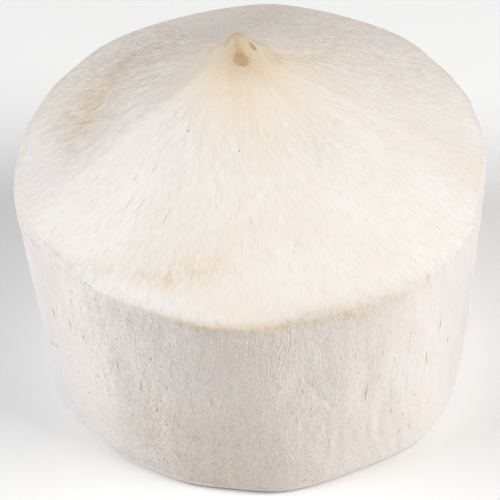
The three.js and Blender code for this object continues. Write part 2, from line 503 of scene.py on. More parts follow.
# Painted shade on the right of the wall, laid on as grey, given in the same way
WALL_SHADE = ((-26, 28, 10, 50, 0.16),)
# Where the husk is whiter, the two at the front left and front right being painted sheen of the lamps:
# azimuth and half width in degrees, and how white
WHITE_AND_SHEEN_SIDES = ((-142, 26, 1.0), (-40, 42, 0.6), (40, 50, 0.2), (176, 22, 0.6))
# Distance from the tip within which the husk turns cream
CREAM_AT_TIP = 25
# Least share of rose on the wall, where the husk is white
ROSE_LEAST = 0.2
# Degrees off the front between which the sides of the wall become cooler, and how cool
COOL_SIDES = (45, 75)
COOL_SHARE = 0.6
# Cooler part of the cone: azimuth, distance from the tip, half length round, half length down, strength
COOL_SPOTS = ((-171, 53, 10, 7, 0.45),)
# Where the colour of the cone is less streaky, given in the same way
EVEN_SPOTS = ((168, 42, 15, 10, 1.0),)
# How much less streaky it is at the grey back
EVEN_AT_BACK = 0.45
# Cooler part of the wall: azimuth, distance below the rim, half length round, half length down, strength
WALL_COOL_SPOTS = ((-37, 16, 9, 26, 0.5),)
# Where the stain of the rim is less spotty, given in the same way
EVEN_RIM = ((-87, 1.5, 38, 4, 0.75),)
# Ways between which the wall's colours and grain take over from the cone's
WALL_TAKES_OVER = (-1, 2)
# Mottling in place of streaks: distances from the tip on the cone, and below the rim on the wall
MOTTLE_AT_TIP = (22, 8)
MOTTLE_LOW = (34, 54)
MOTTLE_LOW_SHARE = 0.8
# Coarseness of the fibres on the cone, and how it lessens towards the tip
COARSE_ON_CONE = 0.4
FINER_BY = 0.3
FINER_AT_TIP = (18, 6)

# Draws that roughen the colours, the length of one of their cells down the husk, and how far in from
# the rim they start
RAGGED = make_draws(77, 30, 260)
RAGGED_LENGTH = 2.4
STREAKS = make_draws(79, 40, 300)
STREAK_LENGTH = 3.5
CLOUDS = make_draws(78, 16, 26)
CLOUD_LENGTH = 9
DRAWS_START = 64
# How far those draws vary each colour
RIM_STAIN_STREAKED = 0.9
CONE_STAIN_RAGGED = 0.8
CONE_STAIN_CLOUDED = 0.6
HALO_RAGGED = 0.35
HALO_CLOUDED = 0.3
WEATHERING_RAGGED = 0.8
WEATHERING_CLOUDED = 0.08
DUST_STREAKED = 0.4
CREAM_CLOUDED = 0.5
# A length of the husk in mm that counts as 1 in fibre_way
GRAIN_LENGTH = 100


def spot_sum(azimuth, distance, radius, spots):
    """Sum of soft spots, each given by its place and its two half lengths."""
    total = np.zeros_like(azimuth * distance)
    for facing, middle, around, along, strength in spots:
        sideways = turn_from(azimuth, facing) * np.maximum(radius, 1) / around
        total += strength * np.exp(-(sideways**2) - ((distance - middle) / along) ** 2)
    return total


def painted_back_shade(azimuth, radius):
    """Painted shade of the back, read from its table round the back from the left ridge to the right one.
    """
    turn = np.mod(np.degrees(azimuth), 360) - 360
    turn = np.where(turn > BACK_SHADE[0][0], turn - 360, turn)
    places, inner, outer = np.array(BACK_SHADE).T
    out = ramp(radius, *GREY_GOES_OVER)
    amount = np.interp(-turn, -places, inner) * (1 - out) + np.interp(-turn, -places, outer) * out
    return amount * ramp(radius, *GREY_COMES_IN)


def nub_marks(azimuth, radius, marks):
    x = radius * np.cos(azimuth)
    y = radius * np.sin(azimuth)
    total = np.zeros_like(x)
    for place_x, place_y, half_x, half_y, strength in marks:
        total += strength * np.exp(-(((x - place_x) / half_x) ** 2) - ((y - place_y) / half_y) ** 2)
    return total


def cone_stain(azimuth, radius, ragged, clouds):
    spots = spot_sum(azimuth, radius, radius, CONE_STAINS)
    return spots * (1 + CONE_STAIN_RAGGED * ragged + CONE_STAIN_CLOUDED * clouds)


def tip_halo(azimuth, radius, ragged, clouds):
    """Gold round the tip, which reaches furthest at the front and has a ragged edge."""
    front = smooth(np.clip(np.cos(azimuth - math.radians(HALO_FACING)) + HALO_FRONT_SHARE, 0, 1))
    reach = radius / (1 + HALO_RAGGED * ragged + HALO_CLOUDED * clouds)
    fall = HALO_FALL_AT_BACK + (HALO_FALL - HALO_FALL_AT_BACK) * front
    past = np.clip(reach - HALO_FULL, 0, None)
    halo = HALO_STRENGTH * np.exp(-((past / fall) ** HALO_SHARPNESS))
    return halo - nub_marks(azimuth, radius, NUB_PALE)


def cream_share(azimuth, radius, clouds):
    """How cream the husk is, from white at 0. It is whiter on some sides, two of them with painted sheen
    of the lamps, and cream round the tip.
    """
    cream = np.ones_like(radius)
    for facing, half_width, amount in WHITE_AND_SHEEN_SIDES:
        off = turn_from(azimuth, facing) / math.radians(half_width)
        cream = cream - amount * np.exp(-(off**2))
    near_tip = ramp(radius, CREAM_AT_TIP, 0)
    return np.clip(cream + near_tip + CREAM_CLOUDED * clouds, 0, 1)


def paint(azimuth, way):
    """Amount of each colour at a place, from 0 to 1, and how coarse the fibre is there."""
    rim = wall_radius(azimuth, 1.0)
    radius = np.clip(rim + np.minimum(way, 0), 0, None)
    on_cone = way <= 0
    on_wall = smooth(ramp(way, *WALL_TAKES_OVER))
    ragged = read_table(RAGGED, azimuth, radius / RAGGED_LENGTH)
    streaks = read_table(STREAKS, azimuth, (way + DRAWS_START) / STREAK_LENGTH)
    clouds = read_table(CLOUDS, azimuth, (way + DRAWS_START) / CLOUD_LENGTH)
    dust = spot_sum(azimuth, way, RIM_RADIUS, WALL_DUST) * (1 + DUST_STREAKED * streaks)
    stain = spot_sum(azimuth, way, RIM_RADIUS, RIM_STAINS) * (1 + RIM_STAIN_STREAKED * streaks)
    stain = stain + np.where(on_cone, cone_stain(azimuth, radius, ragged, clouds), 0)
    stain = stain + np.where(on_cone, tip_halo(azimuth, radius, ragged, clouds), 0)
    stain = stain + DUST_STAIN * dust
    # Painted shade on the back of the cone, which faces away from the lamps
    grey = painted_back_shade(azimuth, radius)
    # Weathering, together with the painted shade of the back and of the hollow
    weathering_and_shade = np.where(on_cone, spot_sum(azimuth, radius, radius, CONE_WEATHERING_AND_SHADE) + grey, 0)
    weathering_and_shade = weathering_and_shade * (1 + WEATHERING_RAGGED * ragged)
    weathering_and_shade = weathering_and_shade + np.clip(clouds, 0, 1) * WEATHERING_CLOUDED
    # Painted shade on the right of the wall
    wall_shade = np.where(on_cone, 0, spot_sum(azimuth, way, RIM_RADIUS, WALL_SHADE))
    weathering_and_shade = weathering_and_shade + DUST_GREY * dust + wall_shade
    cream = cream_share(azimuth, radius, clouds)
    off_front = np.degrees(np.arccos(np.clip(-np.sin(azimuth), -1, 1)))
    cool_wall = smooth(ramp(off_front, *COOL_SIDES)) * COOL_SHARE
    cool_wall = cool_wall + spot_sum(azimuth, way, RIM_RADIUS, WALL_COOL_SPOTS)
    cool_cone = spot_sum(azimuth, radius, radius, COOL_SPOTS)
    cone_mottle = ramp(radius, *MOTTLE_AT_TIP) + spot_sum(azimuth, radius, radius, EVEN_SPOTS)
    even_cone = np.where(on_cone, cone_mottle + EVEN_AT_BACK * ramp(grey, 0, GREY_AT_EVEN), 0)
    even_rim = spot_sum(azimuth, way, RIM_RADIUS, EVEN_RIM)
    finer = FINER_BY * ramp(radius, *FINER_AT_TIP)
    return {
        "stain": np.clip(stain, 0, 1),
        "weathering_and_shade": np.clip(weathering_and_shade, 0, 1),
        "pit": np.where(on_cone, np.clip(nub_marks(azimuth, radius, NUB_MARKS), 0, 1), 0),
        "umber": np.where(on_cone, np.clip(nub_marks(azimuth, radius, NUB_SHADES), 0, 1), 0),
        "even": np.clip(even_cone + even_rim, 0, 1),
        "cream": cream,
        "rose": on_wall * (ROSE_LEAST + (1 - ROSE_LEAST) * cream),
        "cool": np.clip(on_wall * cool_wall + (1 - on_wall) * cool_cone, 0, 1),
        "coarse": COARSE_ON_CONE + (1 - COARSE_ON_CONE) * on_wall - finer,
        "mottle": np.where(on_cone, cone_mottle, MOTTLE_LOW_SHARE * ramp(way, *MOTTLE_LOW)),
    }


def set_values(mesh, name, values):
    """Stores one number for each vertex."""
    layer = mesh.attributes.new(name, "FLOAT", "POINT")
    layer.data.foreach_set("value", np.asarray(values, np.float32).ravel())


def set_surface_values(mesh, azimuth, way, tone):
    """What the materials read: place along the fibres, tone and the painted amounts."""
    layer = mesh.attributes.new("fibre_way", "FLOAT_VECTOR", "POINT")
    place = np.stack([np.cos(azimuth), np.sin(azimuth), way / GRAIN_LENGTH], -1)
    layer.data.foreach_set("vector", place.astype(np.float32).ravel())
    for name, amount in paint(azimuth, way).items():
        set_values(mesh, name, amount)
    set_values(mesh, "tone", tone)


# The husk itself

# The underside is painted as if the wall went on so far, and the husk has the middle tone all over
UNDERSIDE_DEPTH = 4
MIDDLE_TONE = 0.5
# Points of the net that are closer than this are one
NET_MERGE = 0.0001


def husk_rows():
    """Rows of the net, from the middle of the base up the wall and in to the tip."""
    rows = [("base", share) for share in BASE_ROWS]
    rows += [("edge", math.radians(turn)) for turn in BASE_EDGE_TURNS]
    rows += [("wall", row / WALL_ROWS) for row in range(1, WALL_ROWS)]
    rows += [("wall_top", depth) for depth in WALL_TOP_DEPTHS]
    insets = list(RIM_INSETS)
    while insets[-1] < CONE_INSETS_END:
        insets.append(insets[-1] + (CLOSE_INSET if insets[-1] < CLOSE_INSETS_END else WIDE_INSET))
    rows += [("cone", inset) for inset in insets]
    rows += [("tip", radius) for radius in TIP_RADII]
    rows.append(("tip", 0))
    return rows


def spin_net(name, row_count, columns):
    """A tube with one ring for each row, drawn to a point at both ends."""
    bpy.ops.object.select_all(action="DESELECT")
    bpy.ops.mesh.primitive_plane_add(size=1, location=(0, 0, 0))
    net = bpy.context.object
    net.name = name
    bpy.ops.object.mode_set(mode="EDIT")
    bpy.ops.mesh.select_mode(type="VERT")
    bpy.ops.mesh.select_all(action="SELECT")
    bpy.ops.mesh.merge(type="CENTER")
    for row in range(1, row_count):
        sideways = 1 if row == 1 else -1 if row == row_count - 1 else 0
        bpy.ops.mesh.extrude_region_move(TRANSFORM_OT_translate={"value": (sideways, 0, 1)})
    bpy.ops.mesh.select_all(action="SELECT")
    bpy.ops.mesh.spin(steps=columns, angle=FULL_TURN, center=(0, 0, 0), axis=(0, 0, 1))
    bpy.ops.mesh.select_all(action="SELECT")
    bpy.ops.mesh.remove_doubles(threshold=NET_MERGE)
    bpy.ops.mesh.normals_make_consistent(inside=False)
    bpy.ops.object.mode_set(mode="OBJECT")
    return net


def make_husk():
    """The net is spun, and each of its rings is then put in its place on the planed husk."""
    rows = husk_rows()
    husk = spin_net("husk", len(rows), COLUMNS)
    mesh = husk.data
    count = len(mesh.vertices)
    net = np.empty(count * 3)
    mesh.vertices.foreach_get("co", net)
    net = net.reshape(-1, 3)
    azimuth = np.arctan2(net[:, 1], net[:, 0])
    row = np.clip(np.round(net[:, 2]).astype(int), 0, len(rows) - 1)
    kinds = np.array([kind for kind, _ in rows])[row]
    values = np.array([value for _, value in rows], float)[row]
    rim = wall_radius(azimuth, 1.0)
    rim_height = cone_height(azimuth, rim)
    foot = wall_radius(azimuth, 0.0)
    wall_span = rim_height - WALL_TOP_DEPTHS[0] - BASE_EDGE
    height = np.where(kinds == "wall", BASE_EDGE + wall_span * values, 0)
    way = np.select(
        [kinds == "wall", kinds == "wall_top", kinds == "cone", kinds == "tip"],
        [rim_height - height, values, -values, values - rim],
        rim_height,
    )
    points = husk_point(azimuth, way)
    at_edge = kinds == "edge"
    edge_r = foot - BASE_EDGE + BASE_EDGE * np.sin(values)
    flat_r = (foot - BASE_EDGE) * values
    low_r = np.where(at_edge, edge_r, flat_r)
    low_z = np.where(at_edge, BASE_EDGE - BASE_EDGE * np.cos(values), 0)
    low = np.stack([low_r * np.cos(azimuth), low_r * np.sin(azimuth), low_z], -1)
    is_low = at_edge | (kinds == "base")
    points[is_low] = low[is_low]
    mesh.vertices.foreach_set("co", (points * MM).ravel())
    painted_way = np.where(is_low, rim_height + UNDERSIDE_DEPTH, way)
    set_surface_values(mesh, azimuth, painted_way, np.full(count, MIDDLE_TONE))
    face_outwards(husk)
    mesh.shade_smooth()
    return husk


def face_outwards(piece):
    """Turns all faces outwards."""
    bpy.ops.object.select_all(action="DESELECT")
    piece.select_set(True)
    bpy.context.view_layer.objects.active = piece
    bpy.ops.object.mode_set(mode="EDIT")
    bpy.ops.mesh.select_all(action="SELECT")
    bpy.ops.mesh.normals_make_consistent(inside=False)
    bpy.ops.object.mode_set(mode="OBJECT")


# Fibres


def build_mesh(name, points, faces):
    mesh = bpy.data.meshes.new(name)
    mesh.from_pydata((points * MM).tolist(), [], faces.tolist())
    piece = bpy.data.objects.new(name, mesh)
    bpy.context.scene.collection.objects.link(piece)
    return piece


FIBRE_FACES = np.array(((0, 2, 4), (2, 1, 4), (1, 3, 4), (3, 0, 4), (0, 3, 2), (1, 2, 3)))
FIBRE_CORNERS = 5
FIBRE_SUNK = 0.03
# Nearer the axis than this, pieces keep the turn that they have here
LEAST_RADIUS = 3


def lay_fibres(name, azimuth, way, half_length, half_width, height, lean, tone, sunk=FIBRE_SUNK):
    """Slender closed slivers that lie on the husk: two pointed ends, two sides and a ridge each."""
    rim = wall_radius(azimuth, 1.0)
    radius = np.maximum(np.where(way > 0, rim, rim + way), LEAST_RADIUS)
    run = np.cos(lean) * half_length
    drift = np.sin(lean) * half_length / radius
    side_turn = np.cos(lean) * half_width / radius
    side_run = np.sin(lean) * half_width
    places = (
        (azimuth - drift, way - run, -sunk),
        (azimuth + drift, way + run, -sunk),
        (azimuth + side_turn, way - side_run, -sunk),
        (azimuth - side_turn, way + side_run, -sunk),
        (azimuth, way, height),
    )
    points = np.stack([husk_point(a, w, lift=h) for a, w, h in places], 1)
    count = len(azimuth)
    faces = (FIBRE_FACES[None] + FIBRE_CORNERS * np.arange(count)[:, None, None]).reshape(-1, 3)
    piece = build_mesh(name, points.reshape(-1, 3), faces)
    every_azimuth = np.stack([a for a, _, _ in places], 1).ravel()
    every_way = np.stack([w for _, w, _ in places], 1).ravel()
    set_surface_values(piece.data, every_azimuth, every_way, np.repeat(tone, FIBRE_CORNERS))
    return piece


SWIRL = make_draws(91, 24, 44)
SWIRL_LENGTH = 6


def fibre_lean(rng, azimuth, way, spread, swirl):
    """Slight turn of each fibre away from straight, partly shared with its neighbours."""
    shared = 2 * read_table(SWIRL, azimuth, (way + DRAWS_START) / SWIRL_LENGTH)
    return np.radians(rng.normal(0, spread, len(azimuth)) + swirl * shared)


# Roughness, as a share of the fibres' height: where the wall is roughest, half the width of that in
# degrees, and what is added there, elsewhere, towards the left and at the back of the cone
ROUGHEST_WALL = -99
ROUGH_HALF_WIDTH = 27
ROUGH_AT_FRONT = 1.1
ROUGH_ELSEWHERE = 0.32
ROUGHER_AT_LEFT = 0.08
ROUGHER_AT_BACK = 0.4


def wall_roughness(azimuth):
    """The wall is roughest at the front, and smoother where the planing left it cleaner."""
    away = turn_from(azimuth, ROUGHEST_WALL) / math.radians(ROUGH_HALF_WIDTH)
    return ROUGH_ELSEWHERE - ROUGHER_AT_LEFT * np.clip(away, -1, 1) + ROUGH_AT_FRONT * np.exp(-(away**2))


def back_roughness(azimuth, radius):
    """The back of the cone is rougher than its planed front."""
    grey = painted_back_shade(azimuth, np.full_like(radius, GREY_GOES_OVER[0]))
    return 1 + ROUGHER_AT_BACK * ramp(grey, 0, GREY_AT_ROUGH)


# Distances below the rim: the lowest middle of a piece, and where pieces end at the base and the rim
FOOT = 66
END_AT_BASE = 67
END_AT_RIM = 0.4
# What the loose pieces of each kind are like. A pair is a range that each piece draws from. Lean and
# swirl are in degrees, and tone is how far a piece's colour goes.
WALL_FIBRES = SimpleNamespace(
    seed=501,
    count=32000,
    way=(1.5, 65.5),
    half_length=(0.9, 2.4),
    low=(35, 65),
    shorter_low=0.45,
    half_width=(0.11, 0.24),
    height=(0.04, 0.16),
    lean=5,
    swirl=6,
)
CONE_FIBRES = SimpleNamespace(
    seed=502,
    count=32000,
    reach=(10, 58.5),
    half_length=(0.6, 2.1),
    end_at_rim=0.3,
    end_at_tip=9,
    least_half_length=0.2,
    half_width=(0.07, 0.17),
    full_width_at=30,
    least_width_share=0.4,
    height=(0.015, 0.045),
    lean=4,
    swirl=5,
    sunk=0.012,
)
WALL_VEINS = SimpleNamespace(
    seed=503,
    dashes=130,
    dash_way=(4, 52),
    dash_half_length=(0.8, 3.2),
    dash_half_width=(0.12, 0.22),
    dots=440,
    dot_spread=30,
    dot_crowding=1.5,
    dot_half_length=(0.35, 0.9),
    dot_half_width=(0.2, 0.4),
    height=0.05,
    height_where_rough=0.12,
    lean=5,
    swirl=10,
    least_tone=0.3,
)
CONE_VEINS = SimpleNamespace(
    seed=504,
    count=240,
    reach=(12, 57),
    half_length=(0.8, 4.0),
    least_half_length=0.5,
    end_at_rim=0.5,
    half_width=(0.08, 0.16),
    height=0.05,
    lean=4,
    swirl=8,
    most_tone=0.7,
)
CUT_ENDS = SimpleNamespace(
    seed=506,
    count=33000,
    front=-98,
    front_spread=35,
    front_share=0.3,
    spread=62,
    crowding=2,
    half_length=(0.2, 0.55),
    half_width=(0.14, 0.25),
    height=(0.1, 0.28),
    lean_in_radians=(-0.35, 0.35),
    tone=(0.9, 1.25),
)
PLACED_HEIGHT = 0.17


def scatter_on_cone(rng, count, reach):
    """Even scatter over a ring of the cone: azimuth, distance from the axis, and way."""
    azimuth = rng.uniform(-math.pi, math.pi, count)
    radius = np.sqrt(rng.uniform(reach[0] ** 2, reach[1] ** 2, count))
    return azimuth, radius, radius - wall_radius(azimuth, 1.0)


def make_wall_fibres():
    kind = WALL_FIBRES
    rng = np.random.RandomState(kind.seed)
    count = kind.count
    azimuth = rng.uniform(-math.pi, math.pi, count)
    way = rng.uniform(*kind.way, count)
    half_length = rng.uniform(*kind.half_length, count) * (1 - kind.shorter_low * ramp(way, *kind.low))
    half_length = np.minimum(half_length, np.minimum(way - END_AT_RIM, END_AT_BASE - way))
    half_width = rng.uniform(*kind.half_width, count)
    height = rng.uniform(*kind.height, count) * wall_roughness(azimuth)
    lean = fibre_lean(rng, azimuth, way, kind.lean, kind.swirl)
    tone = rng.rand(count)
    return lay_fibres("wall_fibres", azimuth, way, half_length, half_width, height, lean, tone)


def make_cone_fibres():
    kind = CONE_FIBRES
    rng = np.random.RandomState(kind.seed)
    count = kind.count
    azimuth, radius, way = scatter_on_cone(rng, count, kind.reach)
    half_length = rng.uniform(*kind.half_length, count)
    room_at_rim = np.maximum(-way - kind.end_at_rim, kind.least_half_length)
    half_length = np.minimum(half_length, np.minimum(radius - kind.end_at_tip, room_at_rim))
    width_share = np.clip(radius / kind.full_width_at, kind.least_width_share, 1)
    half_width = rng.uniform(*kind.half_width, count) * width_share
    height = rng.uniform(*kind.height, count) * back_roughness(azimuth, radius)
    lean = fibre_lean(rng, azimuth, way, kind.lean, kind.swirl)
    tone = rng.rand(count)
    return lay_fibres("cone_fibres", azimuth, way, half_length, half_width, height, lean, tone, kind.sunk)


def make_wall_veins():
    """Tan vessels that show in the wall: long dashes above, and cut ends like dots towards the base."""
    kind = WALL_VEINS
    rng = np.random.RandomState(kind.seed)
    dashes = kind.dashes
    dots = kind.dots
    count = dashes + dots
    azimuth = rng.uniform(-math.pi, math.pi, count)
    dash_way = rng.uniform(*kind.dash_way, dashes)
    dot_way = FOOT - kind.dot_spread * rng.rand(dots) ** kind.dot_crowding
    way = np.concatenate([dash_way, dot_way])
    dash_half_length = rng.uniform(*kind.dash_half_length, dashes)
    dot_half_length = rng.uniform(*kind.dot_half_length, dots)
    half_length = np.concatenate([dash_half_length, dot_half_length])
    dash_half_width = rng.uniform(*kind.dash_half_width, dashes)
    dot_half_width = rng.uniform(*kind.dot_half_width, dots)
    half_width = np.concatenate([dash_half_width, dot_half_width])
    rough = np.clip(wall_roughness(azimuth), 0, 1)
    height = kind.height + kind.height_where_rough * rough
    lean = fibre_lean(rng, azimuth, way, kind.lean, kind.swirl)
    tone = rng.rand(count) * (kind.least_tone + (1 - kind.least_tone) * rough)
    return lay_fibres("wall_veins", azimuth, way, half_length, half_width, height, lean, tone)


def make_cone_veins():
    kind = CONE_VEINS
    rng = np.random.RandomState(kind.seed)
    count = kind.count
    azimuth, _, way = scatter_on_cone(rng, count, kind.reach)
    half_length = rng.uniform(*kind.half_length, count) * rng.rand(count) + kind.least_half_length
    half_length = np.minimum(half_length, -way - kind.end_at_rim)
    half_width = rng.uniform(*kind.half_width, count)
    height = np.full(count, kind.height)
    lean = fibre_lean(rng, azimuth, way, kind.lean, kind.swirl)
    tone = kind.most_tone * rng.rand(count)
    return lay_fibres("cone_veins", azimuth, way, half_length, half_width, height, lean, tone)


# Vessels that stand out, from end to end: azimuth and distance below the rim (negative on the cone)
# of each end, half width, and depth of colour
PLACED_VEINS = (
    (-137.2, -15.4, -136.2, -22.4, 0.11, 0.5),
    (-133, -16.5, -132.2, -22.4, 0.11, 0.55),
    (-121.8, -15, -121, -22.8, 0.12, 0.6),
    (-161.8, -16.1, -162.5, -21.3, 0.1, 0.45),
    (-154.2, -17, -155.2, -20.8, 0.1, 0.45),
    (-148.8, -18, -148.8, -20.6, 0.1, 0.4),
    (-156, -13, -155.8, -14.8, 0.11, 0.4),
    (-140.5, -21.8, -141.5, -25.2, 0.1, 0.45),
    (-135.5, -25.8, -137, -30.4, 0.1, 0.4),
    (-127, -32, -127, -34.6, 0.1, 0.4),
    (-161, -8, -161.2, -10.1, 0.11, 0.4),
    (-153.2, 23.3, -152.5, 28.7, 0.27, 1.1),
    (-145.5, 22.1, -144.8, 27.5, 0.25, 1.15),
    (-139.5, 23, -140.2, 26.5, 0.2, 0.9),
    (-129, 23.7, -128.8, 32.9, 0.17, 1.0),
    (-122.2, 28.7, -123.5, 38.9, 0.14, 0.8),
    (-121.2, 25.1, -121.5, 29.1, 0.12, 0.5),
    (-108.2, 32.9, -108.8, 38.2, 0.14, 0.55),
    (-103, 25.1, -103.8, 35.6, 0.14, 0.6),
    (-82.8, 35.2, -82.8, 40, 0.16, 0.35),
    (-67.8, 17.2, -68, 19.6, 0.15, 0.6),
    (-64.2, 29.4, -65, 38.7, 0.2, 1.15),
    (-60.8, 18.9, -60.8, 22.1, 0.13, 0.6),
    (-57.7, 22.7, -57.2, 26.9, 0.13, 0.65),
    (-57.5, 43.6, -57.2, 47.9, 0.14, 0.75),
    (-54.8, 53.5, -54.5, 57.9, 0.12, 0.6),
    (-54, 48, -53.8, 50.2, 0.14, 0.6),
    (-53, 16.2, -53, 20.1, 0.11, 0.35),
    (-50.8, 53.5, -51.8, 57.9, 0.12, 0.6),
    (-50.3, 42.9, -50.3, 44.9, 0.2, 0.7),
    (-47, 28.5, -46.5, 36, 0.16, 0.85),
    (-42, 20, -42.4, 27, 0.15, 0.6),
    (-38.5, 31, -38.5, 35, 0.18, 0.6),
)

# Dark specks, given in the same way
SPECKS = (
    (-131.3, -38, -130.3, -38.8, 0.28, 0.2),
    (-94.9, -37.5, -94.1, -37.9, 0.26, 0.2),
    (52.8, -17.8, 52, -18.5, 0.3, 0.3),
    (-118.2, 18.2, -118.5, 21.3, 0.16, 0.8),
    (-118.7, 39.4, -119.1, 41.8, 0.22, 0.4),
    (-160.2, 44.5, -155, 41, 0.2, 0.5),
    (-136.6, 36.4, -136.9, 38.5, 0.16, 0.8),
    (-142.5, 48.7, -142.8, 50, 0.18, 0.7),
)


def lay_placed(name, table):
    """Lays one fibre from each pair of ends in a table."""
    azimuth_a, way_a, azimuth_b, way_b, half_width, tone = np.array(table, float).T
    azimuth = np.radians((azimuth_a + azimuth_b) / 2)
    way = (way_a + way_b) / 2
    rim = wall_radius(azimuth, 1.0)
    radius = np.where(way > 0, rim, rim + way)
    run = (way_b - way_a) / 2
    drift = np.radians(azimuth_b - azimuth_a) / 2 * radius
    lean = np.arctan2(drift, run)
    height = np.full(len(table), PLACED_HEIGHT)
    return lay_fibres(name, azimuth, way, np.hypot(run, drift), half_width, height, lean, tone)


def make_cut_ends():
    """Pale ends of cut fibres, like grains, that crowd towards the base and at the front."""
    kind = CUT_ENDS
    rng = np.random.RandomState(kind.seed)
    count = kind.count
    at_front = np.radians(rng.normal(kind.front, kind.front_spread, count))
    from_front = rng.rand(count) < kind.front_share
    azimuth = np.where(from_front, at_front, rng.uniform(-math.pi, math.pi, count))
    way = FOOT - kind.spread * rng.rand(count) ** kind.crowding
    half_length = np.minimum(rng.uniform(*kind.half_length, count), END_AT_BASE - way)
    half_width = rng.uniform(*kind.half_width, count)
    height = rng.uniform(*kind.height, count) * wall_roughness(azimuth)
    lean = rng.uniform(*kind.lean_in_radians, count)
    tone = rng.uniform(*kind.tone, count)
    return lay_fibres("cut_ends", azimuth, way, half_length, half_width, height, lean, tone)


HAIR_SIDES = 3
HAIR_RINGS = 6
# A hair starts so far under the surface, rises over this share of half a turn, and keeps this share
# of its thickness at its end
HAIR_ROOT = -0.05
HAIR_ARCH = 0.75
HAIR_TIP = 0.15
HAIR_SEED = 505
HAIR_CURL = 0.5
HOLLOW_HAIRS = SimpleNamespace(
    count=80,
    facing=170,
    facing_spread=12,
    distance=41,
    distance_spread=3.5,
    length=(2.5, 7),
    thickness=(0.08, 0.16),
    lean_in_radians=0.15,
    lean_spread=0.3,
    lift=(0.03, 0.16),
)
RIM_FUZZ = SimpleNamespace(
    count=900,
    way=(-1.5, 3),
    length=(0.8, 2.4),
    thickness=(0.07, 0.12),
    lean_in_radians=0,
    lean_spread=0.5,
    lift=(0.08, 0.3),
)


def grow_hairs(name, azimuth, way, length, thickness, lean, lift, curl, tone):
    """Loose hairs: three-sided tubes that leave the husk at one end and end in a point."""
    rim = wall_radius(azimuth, 1.0)
    radius = np.maximum(np.where(way > 0, rim, rim + way), LEAST_RADIUS)
    count = len(azimuth)
    centres = []
    places = []
    for ring in range(HAIR_RINGS):
        share = ring / (HAIR_RINGS - 1)
        turn = lean + curl * share
        a = azimuth + np.sin(turn) * length * share / radius
        w = way + np.cos(turn) * length * share
        raised = HAIR_ROOT + lift * np.sin(share * math.pi * HAIR_ARCH)
        centres.append(husk_point(a, w, lift=raised))
        places.append((a, w))
    centres = np.stack(centres, 1)
    normal = husk_normal(azimuth, way)[:, None, :]
    tangent = unit(np.gradient(centres, axis=1))
    side = unit(np.cross(tangent, np.broadcast_to(normal, tangent.shape)))
    top = np.cross(side, tangent)
    taper = np.linspace(1, HAIR_TIP, HAIR_RINGS)[None, :, None] * thickness[:, None, None] / 2
    rings = []
    for corner in range(HAIR_SIDES):
        turn = FULL_TURN * corner / HAIR_SIDES
        rings.append(centres + taper * (side * math.cos(turn) + top * math.sin(turn)))
    points = np.stack(rings, 2).reshape(-1, 3)
    per_hair = HAIR_RINGS * HAIR_SIDES
    faces = []
    for ring in range(HAIR_RINGS - 1):
        for corner in range(HAIR_SIDES):
            a = ring * HAIR_SIDES + corner
            b = ring * HAIR_SIDES + (corner + 1) % HAIR_SIDES
            faces.append((a, b, b + HAIR_SIDES))
            faces.append((a, b + HAIR_SIDES, a + HAIR_SIDES))
    faces.append((2, 1, 0))
    last = per_hair - HAIR_SIDES
    faces.append((last, last + 1, last + 2))
    faces = (np.array(faces)[None] + per_hair * np.arange(count)[:, None, None]).reshape(-1, 3)
    piece = build_mesh(name, points, faces)
    every_azimuth = np.repeat(np.stack([a for a, _ in places], 1), HAIR_SIDES, axis=1).ravel()
    every_way = np.repeat(np.stack([w for _, w in places], 1), HAIR_SIDES, axis=1).ravel()
    set_surface_values(piece.data, every_azimuth, every_way, np.repeat(tone, per_hair))
    piece.data.shade_smooth()
    face_outwards(piece)
    return piece


def make_frayed_hairs():
    """Frayed fibres in the hollow at the left, and a thin fuzz along the rim."""
    rng = np.random.RandomState(HAIR_SEED)
    hollow = HOLLOW_HAIRS
    fuzz = RIM_FUZZ
    kinds = (hollow, fuzz)
    count = hollow.count + fuzz.count
    hollow_azimuth = np.radians(rng.normal(hollow.facing, hollow.facing_spread, hollow.count))
    azimuth = np.concatenate([hollow_azimuth, rng.uniform(-math.pi, math.pi, fuzz.count)])
    hollow_distance = rng.normal(hollow.distance, hollow.distance_spread, hollow.count)
    hollow_way = hollow_distance - wall_radius(hollow_azimuth, 1.0)
    way = np.concatenate([hollow_way, rng.uniform(*fuzz.way, fuzz.count)])
    length = np.concatenate([rng.uniform(*kind.length, kind.count) for kind in kinds])
    thickness = np.concatenate([rng.uniform(*kind.thickness, kind.count) for kind in kinds])
    leans = [rng.normal(kind.lean_in_radians, kind.lean_spread, kind.count) for kind in kinds]
    lean = np.concatenate(leans)
    lift = np.concatenate([rng.uniform(*kind.lift, kind.count) for kind in kinds])
    curl = rng.normal(0, HAIR_CURL, count)
    tone = rng.rand(count)
    return grow_hairs("frayed_hairs", azimuth, way, length, thickness, lean, lift, curl, tone)


# Materials

# Noise along the fibres: marks to a radian across, marks to 100 mm along, detail, offset
GRAINS = {
    "patches": (5.0, 6.0, 3.0, 3.7),
    "flecks": (90.0, 55.0, 2.0, 11.3),
    "husk_fine": (120.0, 45.0, 3.0, 0.0),
    "husk_coarse": (34.0, 16.0, 2.0, 5.1),
    "fibre": (160.0, 60.0, 2.0, 2.2),
    "vein": (200.0, 80.0, 2.0, 7.7),
    "speck": (200.0, 80.0, 2.0, 1.3),
}
# Marks to a metre of the even mottling of the colour and of the relief, and its detail
COLOUR_MOTTLE = 2400.0
RELIEF_MOTTLE = 1900.0
MOTTLE_DETAIL = 2

